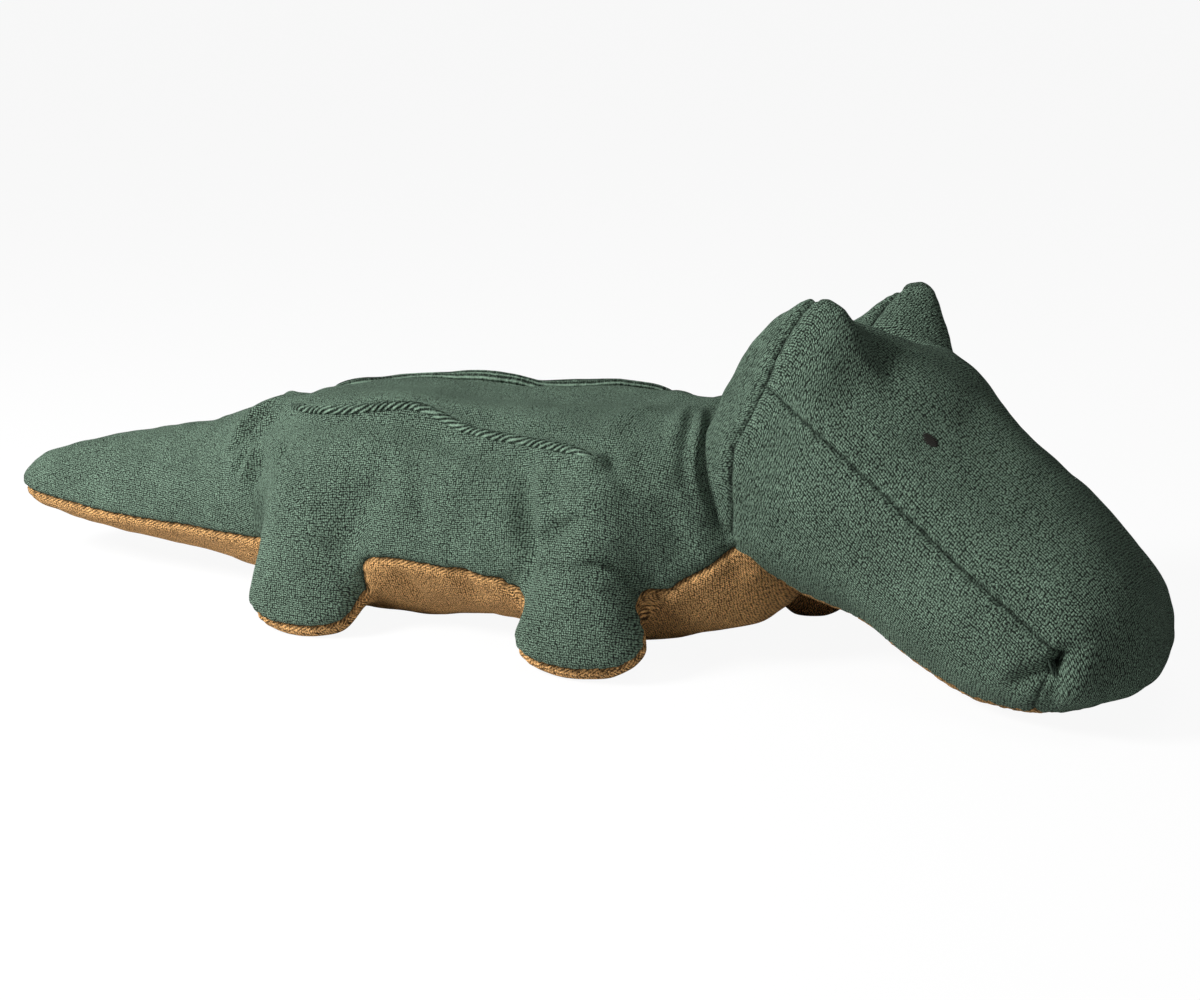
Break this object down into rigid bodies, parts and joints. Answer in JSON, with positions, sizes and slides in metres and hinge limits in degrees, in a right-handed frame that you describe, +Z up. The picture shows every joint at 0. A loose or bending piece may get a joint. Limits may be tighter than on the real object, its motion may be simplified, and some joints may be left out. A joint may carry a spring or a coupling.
{
  "type": "plush crocodile",
  "caption": "Stuffed terry-cloth crocodile lying on its belly with its head turned to its right, a contrasting underside, two tucks along the back and stitched eyes.",
  "frame": {"origin": "on the flat of the belly, on the surface it rests on, half way between the hips and the neck", "axes": "+X along the body towards the neck, +Y to the animal's left, +Z up"},
  "size_m": [0.5937, 0.1536, 0.1686],
  "materials": {
    "green_terry": "matte looped terry",
    "tan_terry": "matte looped terry",
    "filling": "loose white fibre",
    "eye_thread": "satin embroidery thread",
    "green_thread": "matte sewing thread"
  },
  "bodies": {
    "root": {"torso_back_cover": "green_terry", "tail_back_cover": "green_terry", "right_front_leg_outer_cover": "green_terry", "left_front_leg_outer_cover": "green_terry", "right_hind_leg_outer_cover": "green_terry", "left_hind_leg_outer_cover": "green_terry", "right_back_tuck": "green_terry", "left_back_tuck": "green_terry", "head_nape_panel": "green_terry", "head_crown_panel": "green_terry", "head_right_cheek_panel": "green_terry", "head_left_cheek_panel": "green_terry", "torso_belly_cover": "tan_terry", "tail_belly_cover": "tan_terry", "right_front_leg_under_cover": "tan_terry", "left_front_leg_under_cover": "tan_terry", "right_hind_leg_under_cover": "tan_terry", "left_hind_leg_under_cover": "tan_terry", "head_chin_panel": "tan_terry", "torso_filling": "filling", "tail_filling": "filling", "right_front_leg_filling": "filling", "left_front_leg_filling": "filling", "right_hind_leg_filling": "filling", "left_hind_leg_filling": "filling", "head_filling": "filling", "right_eye": "eye_thread", "left_eye": "eye_thread", "right_nostril_tack": "green_thread", "left_nostril_tack": "green_thread"}
  },
  "joints": []
}
